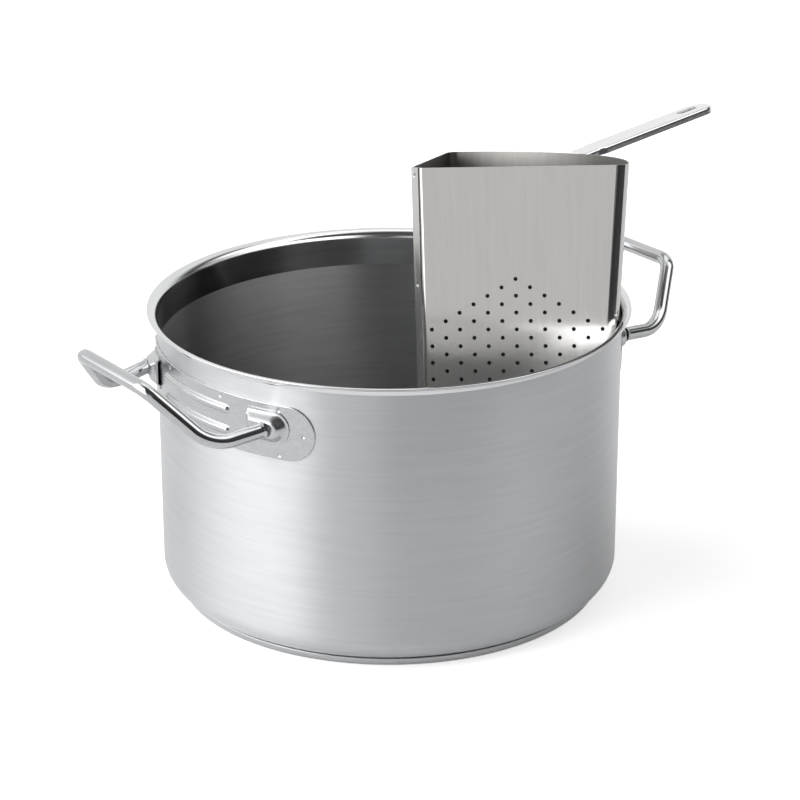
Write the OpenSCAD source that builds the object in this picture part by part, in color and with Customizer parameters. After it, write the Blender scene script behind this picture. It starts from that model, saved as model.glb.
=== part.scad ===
// Pasta pot with a lift-off strainer insert that hangs on the rim by a hook.
// Millimetres. Origin at the middle of the base, +Z up, side handles along X.

/* [Pot] */
// Outer radius of the pot wall
pot_r = 180; // [160:1:200]
// Height from the base to the top of the rim
pot_h = 229; // [190:1:260]
// Sheet thickness of the wall and floor
pot_wall = 1.2; // [0.8:0.1:2]
// Outer radius of the bend between wall and floor
corner_r = 18; // [12:1:26]
// Inner bend radius of the flared rim
flare_r = 6; // [4:0.5:9]
// Flat width of the lip outside the flare
lip_flat = 1.2; // [0.5:0.1:3]

/* [Base] */
// Thickness of the heat-spreading base
base_h = 6.5; // [4:0.5:9]
// How far the base cap stops short of the wall's outer radius
base_inset = 12.3; // [10:0.1:16]
// Sheet thickness of the base cap
cap_wall = 0.8; // [0.5:0.1:1.5]
// Edge radius of the base cap
cap_edge_r = 2.5; // [1.5:0.1:3.5]
// Open joint between the cap's edge and the pot's floor
cap_gap = 0.6; // [0.3:0.1:1]

/* [Handle plates] */
// Height of a handle plate
plate_h = 42.5; // [36:0.5:50]
// Thickness of a handle plate
plate_t = 1.2; // [0.8:0.1:2]
// Distance of the plate's middle line below the top of the rim
plate_drop = 42.7; // [38:0.1:80]
// Half length of the plate along the wall, to the centre of its round end
plate_half = 95; // [80:0.5:110]
// Height of a pressed rib
rib_w = 6; // [4:0.5:8]
// How far a rib stands out
rib_out = 2.4; // [1:0.1:3]
// Half length of a rib along the wall
rib_half = 41; // [25:1:48]
// Distance between the two ribs
rib_pitch = 16.5; // [12:0.5:20]
// Radius of a spot-weld dimple
dimple_r = 1.9; // [1:0.1:3]
// Depth of a spot-weld dimple
dimple_d = 0.5; // [0.2:0.1:0.6]
// Distance of a spot weld from the edge or end beside it
weld_edge = 6; // [4:0.5:8]

/* [Handle saddles] */
// Distance along the wall from the handle's middle to a saddle's middle
saddle_arc = 79.5; // [70:0.5:90]
// Height of a saddle
saddle_h = 26; // [22:0.5:32]
// Height of a saddle's middle line above the plate's middle line
saddle_up = 3.2; // [0:0.1:5]
// How far a saddle stands out from the plate
saddle_out = 7.5; // [5:0.5:10]
// Half length of a saddle along the wall
saddle_half = 17; // [14:0.5:22]
// Height of the slit under a saddle's lip at the end towards the grip
saddle_slit = 2; // [1.5:0.1:3]
// Sheet thickness of a saddle
saddle_t = 1.4; // [1:0.1:2]

/* [Handle tubes] */
// Radius of the handle tube
tube_r = 5.5; // [4.5:0.1:7]
// Wall of the handle tube
tube_wall = 1.5; // [1:0.1:2.5]
// Distance of the lower bends from the pot's axis
tube_bend_u = 211; // [206:1:218]
// Half spacing of the lower bends
tube_bend_v = 75; // [62:1:78]
// Drop of the lower bends below the saddles' middle line
tube_drop = 5; // [0:0.5:12]
// Reach of the grip from the pot's axis
grip_u = 246.5; // [238:0.5:262]
// Half spacing of the grip's ends, to the corner
grip_v = 45; // [42:1:60]
// Rise of the grip above the saddles' middle line
grip_rise = 37; // [20:1:44]
// Bend radius at the lower bends
bend_low_r = 32; // [20:1:40]
// Bend radius at the grip's ends
bend_grip_r = 15; // [12:1:24]

/* [Strainer] */
// Gap between the strainer's curved wall and the pot's inner wall, strainer upright
strainer_gap = 10.4; // [8:0.1:16]
// Height of the strainer
strainer_h = 226; // [180:1:240]
// Sheet thickness of the strainer
sheet_t = 1; // [0.7:0.1:1.5]
// Draft of the curved wall in degrees
draft = 4.72; // [4.5:0.01:6]
// Bend radius between flat and curved walls
wrap_r = 8.5; // [6:0.5:12]
// Width of the flat across the inner corner, to its unrounded edges
corner_w = 12; // [8:0.5:16]
// Bend radius beside the corner flat
corner_bend = 5; // [3:0.5:6]
// Width of the seam strip lapped over the corner flat
seam_w = 9; // [6:0.5:12]
// Fit gap round the strainer's floor
floor_gap = 0.05; // [0.02:0.01:0.2]

/* [Perforations] */
// Hole radius
hole_r = 1.6; // [1:0.1:2.2]
// Distance between holes in a column
hole_pitch = 13; // [11:0.5:18]
// Distance between columns
col_pitch = 11.05; // [9:0.05:13]
// Number of columns on a flat wall
flat_cols = 13; // [7:2:13]
// Distance of the first column from the inner corner
first_col = 14.2; // [10:0.1:20]
// Depth of the top hole of the middle column
first_hole = 86; // [70:1:100]
// Number of columns on the curved wall
arc_cols = 19; // [9:2:19]
// Plain border under the lowest hole and round the floor's holes
hole_edge = 10; // [7:0.5:14]
// Least flat metal beside a hole, up to where a bend starts
hole_clear = 0.3; // [0.2:0.1:2]

/* [Strainer handle] */
// Length of the strainer's handle
grip_len = 150; // [110:1:170]
// Width of the handle channel
grip_w = 26; // [18:0.5:30]
// Depth of the handle channel
grip_d = 6; // [4:0.5:12]
// Sheet thickness of the handle
grip_t = 1.5; // [1:0.1:2]
// Rise of the handle in degrees
grip_angle = 12.4; // [5:0.1:20]
// Turn of the handle round the curved wall, away from its middle line
grip_turn = 3.9; // [0:0.1:6]
// Length of the side flanges' cut beside the wall
grip_cut = 22; // [12:1:30]
// Length of the hanging slot
slot_len = 20; // [14:1:28]
// Width of the hanging slot
slot_w = 8; // [5:0.5:10]
// Width of the foot that carries the handle
foot_w = 44; // [34:1:60]
// Height of the foot
foot_h = 26; // [20:1:36]
// Thickness of the foot
foot_t = 1.5; // [1:0.1:2.5]
// Distance of the foot's top edge below the strainer's top edge
foot_drop = 1.5; // [0.5:0.5:5]

/* [Drain hook] */
// Width of the hook strap
hook_w = 14; // [10:0.5:20]
// Thickness of the hook strap
hook_t = 2; // [1.5:0.1:3]
// Height of the hook's pad on the curved wall
hook_pad_h = 24; // [16:1:30]
// Length of the hook's tip below its arm
hook_tip = 13; // [9:0.5:18]
// Gap between the hook's tip and the pot's lip
hook_gap = 1.4; // [1.2:0.1:2]
// Depth of the hook's arm below the strainer's top edge
hang_depth = 86; // [74:1:96]

/* [Hanging place] */
// Direction of the hook's seat round the rim in degrees
hang_az = -5.5; // [-5.8:0.1:-4]
// Direction of the strainer's middle line in degrees
strainer_az = -2.06; // [-3:0.01:-1.8]
// Lean of the hanging strainer in degrees
lean = 12.5; // [11:0.1:13]
// Direction that the strainer leans to in degrees
lean_az = 62.1; // [58:0.1:64]
// Gap between the curved wall and the pot's inner wall at the rim
hang_gap = 2.4; // [2:0.1:3.4]
// Gap between the hook's arm and the rim
seat_gap = 0.3; // [0.2:0.05:0.5]

/* [Hidden] */
$fn = 96;

STEEL = "#c9ccd0";
STEEL_LIGHT = "#dcdee1";
STEEL_DARK = "#a9adb3";
ALUMINIUM = "#b7babd";

// Gap that keeps welded faces apart by a hair
weld_gap = 0.02;
// Steps in each rounded stretch of a turned outline
arc_steps = 10;

pot_in_r = pot_r - pot_wall;
flare_z = pot_h - flare_r - pot_wall;
lip_r = pot_r + flare_r + lip_flat;
base_r = pot_r - base_inset;

plate_z = pot_h - plate_drop;
plate_in_r = pot_r + weld_gap;
plate_out_r = plate_in_r + plate_t;
deg_per_mm = 180 / (PI * pot_r);
saddle_z = plate_z + saddle_up;
saddle_in_r = plate_out_r + weld_gap;
saddle_out_r = saddle_in_r + saddle_out;
saddle_deg = saddle_arc * deg_per_mm;
// Flank width of the saddle's raised strap
saddle_flank = saddle_out;

strainer_r = pot_in_r - strainer_gap;
draft_k = tan(draft);
// Fixed oversize that carries a cut clear of a face
over = 5;
strainer_turn = strainer_az - 45;
hang_r = pot_in_r - hang_gap;
// How far the arm's underside must sit above the rim so that its lowest corner keeps the seat gap
lip_reach = lip_r - hang_r;
side_lean = abs(sin(lean) * sin(lean_az - hang_az));
out_lean = max(0, sin(lean) * cos(lean_az - hang_az));
seat_lift = seat_gap + hook_w / 2 * side_lean + (lip_reach + hook_gap) * out_lean;

function arc_points(cx, cy, r, from, to) =
    [for (i = [0:arc_steps]) let (a = from + (to - from) * i / arc_steps)
        [cx + r * cos(a), cy + r * sin(a)]];

// Radius of the strainer's outer curved face at a depth below its top edge
function wall_r(depth) = strainer_r - depth * draft_k;

// Distance along a flat wall to where its bend starts, at a depth
function flat_end(depth) =
    sqrt(pow(strainer_r - wrap_r, 2) - wrap_r * wrap_r) - depth * draft_k;

// Half the angle that the curved wall spans between its bends, at a depth
function arc_half(depth) = 45 - atan(wrap_r / flat_end(depth));

// Pot

module pot_body() {
    zb = base_h;
    color(STEEL)
    rotate_extrude()
    polygon(concat(
        [[0, zb]],
        arc_points(pot_r - corner_r, zb + corner_r, corner_r, -90, 0),
        arc_points(pot_r + flare_r, flare_z, flare_r, 180, 90),
        [[lip_r, flare_z + flare_r]],
        [[lip_r, pot_h]],
        arc_points(pot_r + flare_r, flare_z, flare_r + pot_wall, 90, 180),
        arc_points(pot_r - corner_r, zb + corner_r, corner_r - pot_wall, 0, -90),
        [[0, zb + pot_wall]]
    ));
}

module base_core() {
    color(ALUMINIUM)
    translate([0, 0, cap_wall])
    cylinder(h = base_h - cap_wall - weld_gap, r = base_r - cap_edge_r);
}

module base_cap() {
    side_in = base_r - cap_edge_r + weld_gap;
    color(STEEL_DARK)
    rotate_extrude()
    polygon(concat(
        [[0, 0]],
        arc_points(base_r - cap_edge_r, cap_edge_r, cap_edge_r, -90, 0),
        [[base_r, base_h - cap_gap]],
        [[side_in, base_h - cap_gap]],
        [[side_in, cap_wall - weld_gap]],
        [[0, cap_wall - weld_gap]]
    ));
}

// Side handles, drawn at the right and turned for the left

// Places something so that it points out of the wall at an angle and height
module on_wall(deg, z) {
    rotate([0, 0, deg])
    translate([0, 0, z])
    rotate([0, 90, 0])
    children();
}

// A band of the wall between two radii
module wall_band(r_in, r_out, half_deg, z_low, z_high) {
    rotate([0, 0, -half_deg])
    rotate_extrude(angle = 2 * half_deg)
    translate([r_in, z_low])
    square([r_out - r_in, z_high - z_low]);
}

module round_ended_band(r_in, r_out, half_deg, z, height) {
    wall_band(r_in, r_out, half_deg, z - height / 2, z + height / 2);
    intersection() {
        wall_band(r_in, r_out, half_deg + height * deg_per_mm, z - height, z + height);
        union() {
            on_wall(half_deg, z) cylinder(h = 2 * pot_r, r = height / 2);
            on_wall(-half_deg, z) cylinder(h = 2 * pot_r, r = height / 2);
        }
    }
}

module rib(z) {
    half = rib_half * deg_per_mm;
    base_r = plate_out_r - plate_t / 2;
    round_ended_band(base_r, plate_out_r + rib_out * 0.6, half, z, rib_w);
    round_ended_band(base_r, plate_out_r + rib_out, half, z, rib_w * 0.6);
}

module dimple(deg, z) {
    on_wall(deg, z)
    translate([0, 0, plate_out_r - dimple_d])
    cylinder(h = over, r = dimple_r);
}

module handle_plate() {
    half = plate_half * deg_per_mm;
    end = (plate_half + plate_h / 2 - 1.5 * weld_edge) * deg_per_mm;
    mid = (saddle_arc + saddle_half / 2) * deg_per_mm;
    color(STEEL_LIGHT)
    difference() {
        union() {
            round_ended_band(plate_in_r, plate_out_r, half, plate_z, plate_h);
            rib(plate_z + rib_pitch / 2);
            rib(plate_z - rib_pitch / 2);
        }
        for (s = [-1, 1]) {
            dimple(s * end, plate_z);
            dimple(s * mid, plate_z + plate_h / 2 - 2 * dimple_r);
            dimple(s * mid, plate_z - plate_h / 2 + 2 * dimple_r);
            dimple(s * (rib_half - weld_edge) * deg_per_mm, plate_z + plate_h / 2 - 2 * dimple_r);
        }
    }
}

// A stretch of a saddle's length, turned about the pot's axis from an outline of radius and height
module saddle_run(from, to) {
    rotate([0, 0, -(saddle_arc + to) * deg_per_mm])
    rotate_extrude(angle = (to - from) * deg_per_mm)
    children();
}

// Raised strap with a round outline away from the grip and a lip over a slit at the other end
module handle_saddle() {
    round_mid = saddle_half - saddle_h / 2;
    low = saddle_z - saddle_h / 2;
    high = saddle_z + saddle_h / 2;
    r0 = saddle_in_r;
    r1 = saddle_out_r;
    foot = 1.5 * saddle_t;
    roof = saddle_flank + saddle_t;
    color(STEEL_LIGHT)
    difference() {
        intersection() {
            saddle_run(-saddle_half, saddle_half)
            polygon([
                [r0, low],
                [r1 - saddle_t, low + saddle_flank],
                [r1, low + saddle_flank],
                [r1, high - saddle_flank],
                [r1 - saddle_t, high - saddle_flank],
                [r0, high]
            ]);
            union() {
                on_wall(-(saddle_arc + round_mid) * deg_per_mm, saddle_z)
                cylinder(h = 2 * pot_r, r = saddle_h / 2);
                saddle_run(-saddle_half, round_mid)
                translate([pot_r / 2, low])
                square([pot_r, saddle_h]);
            }
        }
        saddle_run(saddle_t - saddle_half, saddle_half + over)
        polygon([
            [r0 - over, low + foot],
            [r0, low + foot],
            [r1 - foot, low + roof],
            [r1 - foot, high - roof],
            [r0, high - foot],
            [r0 - over, high - foot]
        ]);
        saddle_run(-saddle_half - over, 0)
        translate([r0 - over, low + foot + saddle_slit])
        square([over + saddle_slit, saddle_h - 2 * foot - 2 * saddle_slit]);
    }
}

function unit(v) = v / norm(v);

module straight(a, b, r) {
    d = unit(b - a);
    translate(a)
    rotate([0, acos(d[2]), atan2(d[1], d[0])])
    cylinder(h = norm(b - a), r = r);
}

// Round bend where a run along d1 turns into a run along d2 at the corner p
module bend(p, d1, d2, bend_r, r) {
    n = unit(cross(d1, d2));
    turn = acos(d1 * d2);
    start = p - d1 * bend_r * tan(turn / 2);
    inward = cross(n, d1);
    c = start + inward * bend_r;
    multmatrix([
        [-inward[0], d1[0], n[0], c[0]],
        [-inward[1], d1[1], n[1], c[1]],
        [-inward[2], d1[2], n[2], c[2]],
        [0, 0, 0, 1]
    ])
    rotate_extrude(angle = turn)
    translate([bend_r, 0])
    circle(r = r);
}

// Seat that joins a straight run to a bend
module joint_ring(p, r) {
    translate(p) sphere(r = r + weld_gap);
}

function tube_corner(u, v, w) = [u, v, saddle_z + w];

// The handle's path as a solid of one radius, from saddle to saddle
module tube_run(r) {
    root_r = saddle_out_r - saddle_out / 2;
    p0 = tube_corner(root_r * cos(saddle_deg), root_r * sin(saddle_deg), 0);
    p1 = tube_corner(tube_bend_u, tube_bend_v, -tube_drop);
    p2 = tube_corner(grip_u, grip_v, grip_rise);
    p3 = tube_corner(grip_u, -grip_v, grip_rise);
    p4 = tube_corner(tube_bend_u, -tube_bend_v, -tube_drop);
    p5 = tube_corner(root_r * cos(saddle_deg), -root_r * sin(saddle_deg), 0);
    d = [unit(p1 - p0), unit(p2 - p1), unit(p3 - p2), unit(p4 - p3), unit(p5 - p4)];
    cut1 = bend_low_r * tan(acos(d[0] * d[1]) / 2);
    cut2 = bend_grip_r * tan(acos(d[1] * d[2]) / 2);
    straight(p0, p1 - d[0] * cut1, r);
    bend(p1, d[0], d[1], bend_low_r, r);
    straight(p1 + d[1] * cut1, p2 - d[1] * cut2, r);
    bend(p2, d[1], d[2], bend_grip_r, r);
    straight(p2 + d[2] * cut2, p3 - d[2] * cut2, r);
    bend(p3, d[2], d[3], bend_grip_r, r);
    straight(p3 + d[3] * cut2, p4 - d[3] * cut1, r);
    bend(p4, d[3], d[4], bend_low_r, r);
    straight(p4 + d[4] * cut1, p5, r);
    for (p = [
        p1 - d[0] * cut1, p1 + d[1] * cut1, p2 - d[1] * cut2, p2 + d[2] * cut2,
        p3 - d[2] * cut2, p3 + d[3] * cut2, p4 - d[3] * cut1, p4 + d[4] * cut1
    ]) {
        joint_ring(p, r);
    }
}

module handle_tube() {
    color(STEEL)
    difference() {
        tube_run(tube_r);
        tube_run(tube_r - tube_wall);
        translate([0, 0, saddle_z - 4 * tube_r])
        cylinder(h = 8 * tube_r, r = saddle_out_r + weld_gap);
    }
}

module left_side() {
    rotate([0, 0, 180]) children();
}

module other_end() {
    mirror([0, 1, 0]) children();
}

module handle_plate_right() { handle_plate(); }
module handle_plate_left() { left_side() handle_plate(); }
module handle_saddle_right_rear() { other_end() handle_saddle(); }
module handle_saddle_right_front() { handle_saddle(); }
module handle_saddle_left_front() { left_side() other_end() handle_saddle(); }
module handle_saddle_left_rear() { left_side() handle_saddle(); }
module handle_tube_right() { handle_tube(); }
module handle_tube_left() { left_side() handle_tube(); }

// Strainer, drawn with its inner corner on Z, its top edge at zero and flat walls along X and Y

module hang() {
    s = wall_r(hang_depth) * sqrt(0.5);
    translate([hang_r * cos(hang_az), hang_r * sin(hang_az), pot_h + seat_lift])
    rotate([0, 0, lean_az])
    rotate([0, lean, 0])
    rotate([0, 0, strainer_turn - lean_az])
    translate([-s, -s, hang_depth])
    children();
}

module middle_line() {
    rotate([0, 0, 45]) children();
}

// Solid that fills the curved wall out to a set distance beyond its outer face
module wall_cone(out, top, bottom) {
    translate([0, 0, -bottom])
    cylinder(h = bottom - top, r1 = wall_r(bottom) + out, r2 = wall_r(top) + out);
}

// What the bend takes off the corner between a flat wall and the curved one
module bend_corner(inset) {
    translate([flat_end(0), 0, 0])
    rotate([0, draft, 0])
    difference() {
        translate([0, -over, -strainer_h - 4 * over])
        cube([3 * wrap_r, wrap_r + over, strainer_h + 8 * over]);
        translate([0, wrap_r, -strainer_h - 5 * over])
        cylinder(h = strainer_h + 10 * over, r = wrap_r - inset);
    }
}

module swap_walls() {
    mirror([1, -1, 0]) children();
}

// Plan of the flat walls and the flat across their corner, inset from the outer faces
module corner_plan(inset) {
    far = 2 * strainer_r;
    c = sqrt(2) * (corner_w / 2 + corner_bend) - corner_bend;
    polygon(concat(
        [[far, far], [far, inset]],
        arc_points(c, corner_bend, corner_bend - inset, -90, -135),
        arc_points(corner_bend, c, corner_bend - inset, -135, -180),
        [[inset, far]]
    ));
}

// Space inside the strainer's outline, inset from its outer faces
module sector(inset, top, bottom) {
    difference() {
        intersection() {
            wall_cone(-inset, top, bottom);
            translate([0, 0, -bottom]) linear_extrude(bottom - top) corner_plan(inset);
        }
        bend_corner(inset);
        swap_walls() bend_corner(inset);
    }
}

module flat_holes() {
    mid = (flat_cols - 1) / 2;
    last = strainer_h - hole_edge;
    for (i = [0:flat_cols - 1]) {
        x = first_col + i * col_pitch;
        top = first_hole + abs(i - mid) * hole_pitch / 2;
        for (d = [top:hole_pitch:last]) {
            if (x + hole_r + hole_clear < flat_end(d)) {
                translate([x, -over, -d])
                rotate([-90, 0, 0])
                cylinder(h = 2 * over, r = hole_r, $fn = 24);
            }
        }
    }
}

module arc_holes() {
    mid = (arc_cols - 1) / 2;
    last = strainer_h - hole_edge;
    step = col_pitch / strainer_r * 180 / PI;
    for (i = [0:arc_cols - 1]) {
        top = first_hole + (1 + (i % 2) / 2) * hole_pitch;
        for (d = [top:hole_pitch:last]) {
            edge_deg = (hole_r + hole_clear) / wall_r(d) * 180 / PI;
            if (abs(i - mid) * step + edge_deg < arc_half(d)) {
                rotate([0, 0, 45 + (i - mid) * step])
                translate([wall_r(d) - over, 0, -d])
                rotate([0, 90, 0])
                cylinder(h = 2 * over, r = hole_r, $fn = 24);
            }
        }
    }
}

module strainer_wall() {
    color(STEEL)
    hang()
    difference() {
        sector(0, 0, strainer_h);
        sector(sheet_t, -over, strainer_h + over);
        flat_holes();
        swap_walls() flat_holes();
        arc_holes();
    }
}

module strainer_seam_strip() {
    color(STEEL_LIGHT)
    hang()
    middle_line()
    translate([corner_w / 2 - sheet_t - weld_gap, 0, 0])
    difference() {
        translate([0, -seam_w / 2, -strainer_h])
        cube([sheet_t, seam_w, strainer_h]);
        for (d = [weld_edge, strainer_h * 0.4, strainer_h * 0.8]) {
            translate([dimple_d - over, 0, -d])
            rotate([0, 90, 0])
            cylinder(h = over, r = seam_w / 5);
        }
    }
}

module strainer_floor() {
    inset = sheet_t + floor_gap;
    row = hole_pitch * sin(60);
    reach = wall_r(strainer_h) - sheet_t - hole_edge;
    color(STEEL)
    hang()
    difference() {
        sector(inset, strainer_h - sheet_t, strainer_h);
        for (i = [0:ceil(reach / row)]) {
            for (j = [0:ceil(reach / hole_pitch)]) {
                x = sheet_t + hole_edge + i * row;
                y = sheet_t + hole_edge + (j + (i % 2) / 2) * hole_pitch;
                if (norm([x, y]) < reach) {
                    translate([x, y, -strainer_h - over])
                    cylinder(h = 2 * over, r = hole_r, $fn = 24);
                }
            }
        }
    }
}

module grip_line() {
    rotate([0, 0, grip_turn]) middle_line() children();
}

// Outline of the channel from above, inset from its outer faces
module grip_outline(inset) {
    r = grip_w / 2 - inset;
    translate([-over * 3, -r]) square([grip_len - grip_w / 2 + over * 3, 2 * r]);
    translate([grip_len - grip_w / 2, 0]) circle(r = r);
}

module strainer_handle() {
    color(STEEL_LIGHT)
    hang()
    grip_line()
    difference() {
        translate([strainer_r, 0, 0])
        rotate([0, -grip_angle, 0])
        difference() {
            translate([0, 0, -grip_d]) linear_extrude(grip_d) grip_outline(0);
            translate([0, 0, -grip_d - 1]) linear_extrude(grip_d + 1 - grip_t) grip_outline(grip_t);
            translate([grip_len - grip_w / 2 - slot_len / 2, 0, -grip_d])
            linear_extrude(2 * grip_d)
            union() {
                square([slot_len - slot_w, slot_w], center = true);
                translate([slot_len / 2 - slot_w / 2, 0]) circle(r = slot_w / 2);
                translate([slot_w / 2 - slot_len / 2, 0]) circle(r = slot_w / 2);
            }
            for (s = [-1, 1]) {
                translate([0, s * grip_w / 2, 0])
                cube([2 * grip_cut, 2.2 * grip_t, 2.2 * grip_t], center = true);
            }
        }
        wall_cone(foot_t + 2 * weld_gap, -2 * grip_w, 3 * grip_w);
    }
}

module strainer_handle_foot() {
    color(STEEL_LIGHT)
    hang()
    grip_line()
    difference() {
        intersection() {
            wall_cone(foot_t + weld_gap, foot_drop, foot_drop + foot_h);
            translate([strainer_r / 2, -foot_w / 2, -foot_drop - foot_h])
            cube([strainer_r, foot_w, foot_h]);
        }
        wall_cone(weld_gap, 0, foot_drop + foot_h + over);
        for (s = [-1, 1]) {
            translate([wall_r(foot_drop + foot_h - weld_edge) + foot_t - dimple_d, 0, 0])
            translate([-pow(foot_w / 2 - weld_edge, 2) / (2 * strainer_r), s * (foot_w / 2 - weld_edge),
                -foot_drop - foot_h + weld_edge])
            rotate([0, 90, 0])
            cylinder(h = over, r = dimple_r);
        }
    }
}

module drain_hook() {
    r0 = wall_r(hang_depth);
    z0 = -hang_depth;
    reach = lip_reach + hook_gap;
    color(STEEL_DARK)
    hang()
    middle_line()
    difference() {
        translate([0, hook_w / 2, 0])
        rotate([90, 0, 0])
        linear_extrude(hook_w)
        polygon([
            [r0 - hook_t, z0],
            [r0 + reach, z0],
            [r0 + reach, z0 - hook_tip],
            [r0 + reach + hook_t, z0 - hook_tip],
            [r0 + reach + hook_t, z0 + hook_t],
            [r0 + hook_t + draft_k * hook_t, z0 + hook_t],
            [r0 + hook_t + draft_k * hook_pad_h, z0 + hook_pad_h],
            [r0 - hook_t, z0 + hook_pad_h]
        ]);
        wall_cone(weld_gap, 0, hang_depth + over, $fn = 360);
    }
}

pot_body();
base_core();
base_cap();
handle_plate_left();
handle_plate_right();
handle_saddle_left_front();
handle_saddle_left_rear();
handle_saddle_right_front();
handle_saddle_right_rear();
handle_tube_left();
handle_tube_right();
strainer_wall();
strainer_seam_strip();
strainer_floor();
strainer_handle();
strainer_handle_foot();
drain_hook();
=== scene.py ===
"""Pasta pot with a hanging strainer insert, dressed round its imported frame.

The classes hold sizes in millimetres in the frame of the model: the origin is the middle
of the base, Z is up and the side handles lie along X. Meshes are stored in metres.
"""

import logging
import math
from dataclasses import dataclass, field
from enum import Enum

import bmesh
import bpy
import numpy as np
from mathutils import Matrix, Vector


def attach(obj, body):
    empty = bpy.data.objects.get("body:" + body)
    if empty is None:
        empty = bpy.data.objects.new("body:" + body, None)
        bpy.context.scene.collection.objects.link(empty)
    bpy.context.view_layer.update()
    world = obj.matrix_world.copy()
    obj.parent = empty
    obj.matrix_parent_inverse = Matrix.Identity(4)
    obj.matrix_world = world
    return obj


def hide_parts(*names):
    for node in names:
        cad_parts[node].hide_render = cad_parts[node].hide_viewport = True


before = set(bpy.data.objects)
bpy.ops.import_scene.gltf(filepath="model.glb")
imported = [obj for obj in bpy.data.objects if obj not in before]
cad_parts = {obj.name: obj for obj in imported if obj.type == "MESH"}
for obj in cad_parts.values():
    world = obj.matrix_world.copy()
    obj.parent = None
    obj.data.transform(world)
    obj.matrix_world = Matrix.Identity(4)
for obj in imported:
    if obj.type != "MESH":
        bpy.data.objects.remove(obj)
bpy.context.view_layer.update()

MM = 0.001
Array = np.ndarray
log = logging.getLogger("pasta_pot")


class Side(Enum):
    """Which side handle a set of pieces belongs to: the sign of its X direction."""

    LEFT = -1
    RIGHT = 1


class End(Enum):
    """Which end of a side handle a saddle sits at: the sign along the wall."""

    FIRST = -1
    SECOND = 1


class Grain(Enum):
    """The way the polishing marks of a finish run."""

    ROUND = "round the pot's axis"
    UPRIGHT = "up the strainer's sheets"
    ALONG_GRIP = "along the strainer's handle"
    LEVEL = "level, round the handle plates"


# Numbers and shapes


def unit(vector: Array) -> Array:
    """Scales a vector, or each row of an array of them, to length one."""
    return vector / np.linalg.norm(vector, axis=-1, keepdims=True)


def ease(x: Array) -> Array:
    """Smooth step: x squared times (3 - 2x) between 0 and 1, level outside."""
    x = np.clip(x, 0.0, 1.0)
    return x * x * (3.0 - 2.0 * x)


def arc(
    cx: float, cy: float, radius: float, start: float, end: float, steps: int
) -> Array:
    """Points of a round arc.

    The point at angle a is (cx + radius cos a, cy + radius sin a).

    Args:
        cx: Centre, first coordinate.
        cy: Centre, second coordinate.
        radius: Radius of the arc.
        start: First angle in degrees.
        end: Last angle in degrees.
        steps: How many stretches the arc is cut into.

    Returns:
        An array of steps + 1 points in the plane.
    """
    a = np.radians(np.linspace(start, end, steps + 1))
    return np.stack([cx + radius * np.cos(a), cy + radius * np.sin(a)], axis=-1)


def turned(profile: Array, turns: int) -> Array:
    """Surface of revolution of a profile about Z.

    A profile point (r, z) at angle a goes to (r cos a, r sin a, z).

    Args:
        profile: Points (r, z) of the profile.
        turns: Number of steps round the axis.

    Returns:
        A grid of turns by len(profile) points.
    """
    a = np.linspace(0.0, 2.0 * np.pi, turns, endpoint=False)[:, None]
    r, z = profile[None, :, 0], profile[None, :, 1]
    return np.stack([r * np.cos(a), r * np.sin(a), z + 0.0 * a], axis=-1)


def rounded_path(corners: Array, radii: list[float], steps: int) -> Array:
    """A path of straight runs whose corners are rounded.

    With unit directions d1 and d2 into and out of a corner p and the turn t between them,
    the arc starts at p - d1 r tan(t/2) and its point at angle a lies r sin a further along
    d1 and r (1 - cos a) towards the inside.

    Args:
        corners: The path's ends and corners, one row each.
        radii: Bend radius at each inner corner.
        steps: Points on each bend.

    Returns:
        The path's points in order.
    """
    parts = [corners[:1]]
    for before, here, after, radius in zip(corners, corners[1:], corners[2:], radii):
        d1, d2 = unit(here - before), unit(after - here)
        inward = np.cross(unit(np.cross(d1, d2)), d1)
        turn = math.acos(float(d1 @ d2))
        a = np.linspace(0.0, turn, steps)[:, None]
        start = here - d1 * radius * math.tan(turn / 2.0)
        parts.append(start + d1 * radius * np.sin(a) + inward * radius * (1.0 - np.cos(a)))
    parts.append(corners[-1:])
    return np.vstack(parts)


def swept(path: Array, radius: Array, ref: Array, sides: int) -> Array:
    """Round tube along a path.

    Each path point's tangent t is the mean of its two runs, its side vector is t cross ref,
    and the ring is the centre plus radius times (cos a side + sin a up).

    Args:
        path: Centre line, one row for each ring.
        radius: Radius at each ring.
        ref: A direction that the path never runs along.
        sides: Points round each ring.

    Returns:
        A grid of len(path) + 2 by sides points, closed at both ends by a pole.
    """
    runs = unit(np.diff(path, axis=0))
    tangent = unit(np.vstack([runs[:1], runs[:-1] + runs[1:], runs[-1:]]))
    side = unit(np.cross(tangent, ref))
    up = np.cross(side, tangent)
    a = np.linspace(0.0, 2.0 * np.pi, sides, endpoint=False)[None, :, None]
    out = np.cos(a) * side[:, None] + np.sin(a) * up[:, None]
    ring = path[:, None] + radius[:, None, None] * out
    poles = np.repeat(path[[0, -1], None], sides, axis=1)
    return np.concatenate([poles[:1], ring, poles[1:]], axis=0)


@dataclass
class Patch:
    """A grid of points in millimetres, one stretch of a piece's surface."""

    points: Array
    round_rows: bool = False
    round_columns: bool = False
    keep: Array | None = None
    slot: Array | int = 0

    def cells(self, first: int) -> tuple[Array, Array]:
        """The patch's four-sided faces.

        Args:
            first: Index of the patch's first point in the mesh.

        Returns:
            The faces' point indices, and each face's material slot.
        """
        rows, columns = self.points.shape[:2]
        index = np.arange(rows * columns).reshape(rows, columns) + first
        if self.round_rows:
            index = np.vstack([index, index[:1]])
        if self.round_columns:
            index = np.hstack([index, index[:, :1]])
        faces = np.stack(
            [index[:-1, :-1], index[1:, :-1], index[1:, 1:], index[:-1, 1:]], axis=-1
        )
        slots = np.broadcast_to(self.slot, faces.shape[:2])
        if self.keep is not None:
            return faces[self.keep], slots[self.keep]
        return faces.reshape(-1, 4), slots.reshape(-1)


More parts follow.
